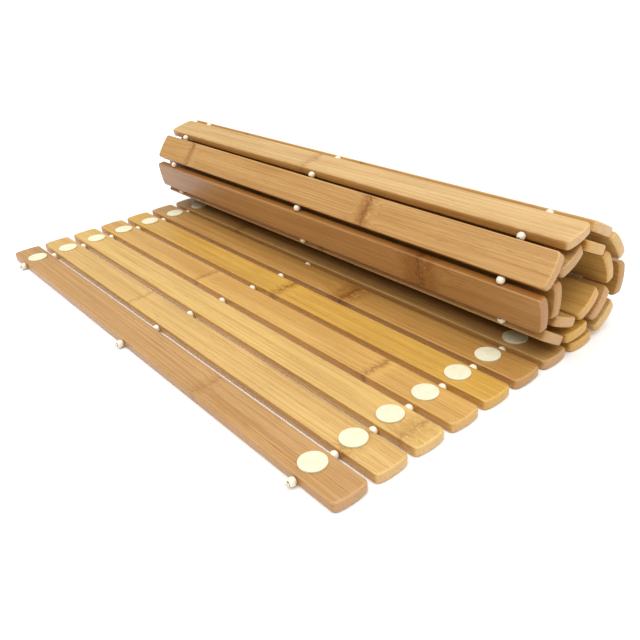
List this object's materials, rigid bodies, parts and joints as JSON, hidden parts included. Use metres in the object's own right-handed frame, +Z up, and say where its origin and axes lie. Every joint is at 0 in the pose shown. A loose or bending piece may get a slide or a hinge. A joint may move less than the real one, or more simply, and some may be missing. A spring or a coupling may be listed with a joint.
{
  "type": "roll-up bamboo slat mat",
  "caption": "Roll-up mat of parallel bamboo slats strung on cords with spacer beads and round anti-slip pads, shown partly rolled.",
  "frame": {"origin": "middle of the bounding box in X and Y, on the floor that the flat slats lie on", "axes": "+X along the slats, +Y from the free front slat towards the roll, +Z up"},
  "size_m": [0.4, 0.229, 0.0761],
  "materials": {
    "bamboo": "satin varnished bamboo, warm honey tan",
    "pads": "matte cream rubber",
    "beads": "smooth cream plastic",
    "cord": "natural twisted cord"
  },
  "bodies": {
    "row_01": {"slat_01": "bamboo", "pads_and_beads_01": "pads", "front_stop_beads": "beads", "front_knots": "cord"},
    "row_02": {"slat_02": "bamboo", "pads_and_beads_02": "pads"},
    "row_03": {"slat_03": "bamboo", "pads_and_beads_03": "pads"},
    "row_04": {"slat_04": "bamboo", "pads_and_beads_04": "pads"},
    "row_05": {"slat_05": "bamboo", "pads_and_beads_05": "pads"},
    "row_06": {"slat_06": "bamboo", "pads_and_beads_06": "pads"},
    "row_07": {"slat_07": "bamboo", "pads_and_beads_07": "pads"},
    "row_08": {"slat_08": "bamboo", "pads_and_beads_08": "pads", "left_cord": "cord", "middle_cord": "cord", "right_cord": "cord"},
    "row_09": {"slat_09": "bamboo", "pads_and_beads_09": "pads"},
    "row_10": {"slat_10": "bamboo", "pads_and_beads_10": "pads"},
    "row_11": {"slat_11": "bamboo", "pads_and_beads_11": "pads"},
    "row_12": {"slat_12": "bamboo", "pads_and_beads_12": "pads"},
    "row_13": {"slat_13": "bamboo", "pads_and_beads_13": "pads"},
    "row_14": {"slat_14": "bamboo", "pads_and_beads_14": "pads"},
    "row_15": {"slat_15": "bamboo", "pads_and_beads_15": "pads"},
    "row_16": {"slat_16": "bamboo", "pads_and_beads_16": "pads"},
    "row_17": {"slat_17": "bamboo", "pads_and_beads_17": "pads"},
    "row_18": {"slat_18": "bamboo", "pads_and_beads_18": "pads"},
    "row_19": {"slat_19": "bamboo", "pads_and_beads_19": "pads"},
    "row_20": {"slat_20": "bamboo", "pads_and_beads_20": "pads"},
    "row_21": {"slat_21": "bamboo", "pads_and_beads_21": "pads"},
    "row_22": {"slat_22": "bamboo", "pads_and_beads_22": "pads"},
    "row_23": {"slat_23": "bamboo", "pads_and_beads_23": "pads"},
    "row_24": {"slat_24": "bamboo", "pads_and_beads_24": "pads", "rear_stop_beads": "beads", "rear_knots": "cord"}
  },
  "joints": [
    {"name": "unroll", "type": "hinge", "parent": "row_08", "child": "row_09", "pos_m": [0, 0.08914, 0.003], "axis": [1, 0, 0], "range_deg": [-35, 0], "deforming": ["left_cord", "middle_cord", "right_cord"]},
    {"name": "unroll_09_10", "type": "hinge", "parent": "row_09", "child": "row_10", "pos_m": [0, 0.10962, 0.01734], "axis": [1, 0, 0], "range_deg": [-50, 0]},
    {"name": "unroll_10_11", "type": "hinge", "parent": "row_10", "child": "row_11", "pos_m": [0, 0.1118, 0.04224], "axis": [1, 0, 0], "range_deg": [-43, 0]},
    {"name": "unroll_11_12", "type": "hinge", "parent": "row_11", "child": "row_12", "pos_m": [0, 0.09641, 0.06194], "axis": [1, 0, 0], "range_deg": [-24, 0]},
    {"name": "unroll_12_13", "type": "hinge", "parent": "row_12", "child": "row_13", "pos_m": [0, 0.07433, 0.07368], "axis": [1, 0, 0], "range_deg": [-40, 0]},
    {"name": "unroll_13_14", "type": "hinge", "parent": "row_13", "child": "row_14", "pos_m": [0, 0.04988, 0.06848], "axis": [1, 0, 0], "range_deg": [-40, 0]},
    {"name": "unroll_14_15", "type": "hinge", "parent": "row_14", "child": "row_15", "pos_m": [0, 0.03449, 0.04878], "axis": [1, 0, 0], "range_deg": [-45, 0]},
    {"name": "unroll_15_16", "type": "hinge", "parent": "row_15", "child": "row_16", "pos_m": [0, 0.03754, 0.02397], "axis": [1, 0, 0], "range_deg": [-51, 0]},
    {"name": "unroll_16_17", "type": "hinge", "parent": "row_16", "child": "row_17", "pos_m": [0, 0.05874, 0.01072], "axis": [1, 0, 0], "range_deg": [-35, 0]},
    {"name": "unroll_17_18", "type": "hinge", "parent": "row_17", "child": "row_18", "pos_m": [0, 0.0837, 0.01203], "axis": [1, 0, 0], "range_deg": [-43, 0]},
    {"name": "unroll_18_19", "type": "hinge", "parent": "row_18", "child": "row_19", "pos_m": [0, 0.10107, 0.03001], "axis": [1, 0, 0], "range_deg": [-66, 0]},
    {"name": "unroll_19_20", "type": "hinge", "parent": "row_19", "child": "row_20", "pos_m": [0, 0.0917, 0.05319], "axis": [1, 0, 0], "range_deg": [-42, 0]},
    {"name": "unroll_20_21", "type": "hinge", "parent": "row_20", "child": "row_21", "pos_m": [0, 0.06923, 0.06415], "axis": [1, 0, 0], "range_deg": [-52, 0]},
    {"name": "unroll_21_22", "type": "hinge", "parent": "row_21", "child": "row_22", "pos_m": [0, 0.04676, 0.05319], "axis": [1, 0, 0], "range_deg": [-64, 0]},
    {"name": "unroll_22_23", "type": "hinge", "parent": "row_22", "child": "row_23", "pos_m": [0, 0.04676, 0.02819], "axis": [1, 0, 0], "range_deg": [-67, 0]},
    {"name": "unroll_23_24", "type": "hinge", "parent": "row_23", "child": "row_24", "pos_m": [0, 0.06978, 0.01842], "axis": [1, 0, 0], "range_deg": [-58, 0]},
    {"name": "lift_07_08", "type": "hinge", "parent": "row_08", "child": "row_07", "pos_m": [0, 0.06414, 0.003], "axis": [-1, 0, 0], "range_deg": [-30, 0]},
    {"name": "lift_06_07", "type": "hinge", "parent": "row_07", "child": "row_06", "pos_m": [0, 0.03914, 0.003], "axis": [-1, 0, 0], "range_deg": [-30, 30]},
    {"name": "lift_05_06", "type": "hinge", "parent": "row_06", "child": "row_05", "pos_m": [0, 0.01414, 0.003], "axis": [-1, 0, 0], "range_deg": [-30, 30]},
    {"name": "lift_04_05", "type": "hinge", "parent": "row_05", "child": "row_04", "pos_m": [0, -0.01086, 0.003], "axis": [-1, 0, 0], "range_deg": [-30, 30]},
    {"name": "lift_03_04", "type": "hinge", "parent": "row_04", "child": "row_03", "pos_m": [0, -0.03586, 0.003], "axis": [-1, 0, 0], "range_deg": [-30, 30]},
    {"name": "lift_02_03", "type": "hinge", "parent": "row_03", "child": "row_02", "pos_m": [0, -0.06086, 0.003], "axis": [-1, 0, 0], "range_deg": [-30, 30]},
    {"name": "lift_01_02", "type": "hinge", "parent": "row_02", "child": "row_01", "pos_m": [0, -0.08586, 0.003], "axis": [-1, 0, 0], "range_deg": [-30, 30]}
  ],
  "couplings": [
    {"joint": "unroll_09_10", "follows": "unroll", "ratio": 1.4286},
    {"joint": "unroll_10_11", "follows": "unroll", "ratio": 1.2286},
    {"joint": "unroll_11_12", "follows": "unroll", "ratio": 0.68571},
    {"joint": "unroll_12_13", "follows": "unroll", "ratio": 1.1429},
    {"joint": "unroll_13_14", "follows": "unroll", "ratio": 1.1429},
    {"joint": "unroll_14_15", "follows": "unroll", "ratio": 1.2857},
    {"joint": "unroll_15_16", "follows": "unroll", "ratio": 1.4571},
    {"joint": "unroll_16_17", "follows": "unroll", "ratio": 1},
    {"joint": "unroll_17_18", "follows": "unroll", "ratio": 1.2286},
    {"joint": "unroll_18_19", "follows": "unroll", "ratio": 1.8857},
    {"joint": "unroll_19_20", "follows": "unroll", "ratio": 1.2},
    {"joint": "unroll_20_21", "follows": "unroll", "ratio": 1.4857},
    {"joint": "unroll_21_22", "follows": "unroll", "ratio": 1.8286},
    {"joint": "unroll_22_23", "follows": "unroll", "ratio": 1.9143},
    {"joint": "unroll_23_24", "follows": "unroll", "ratio": 1.6571}
  ]
}
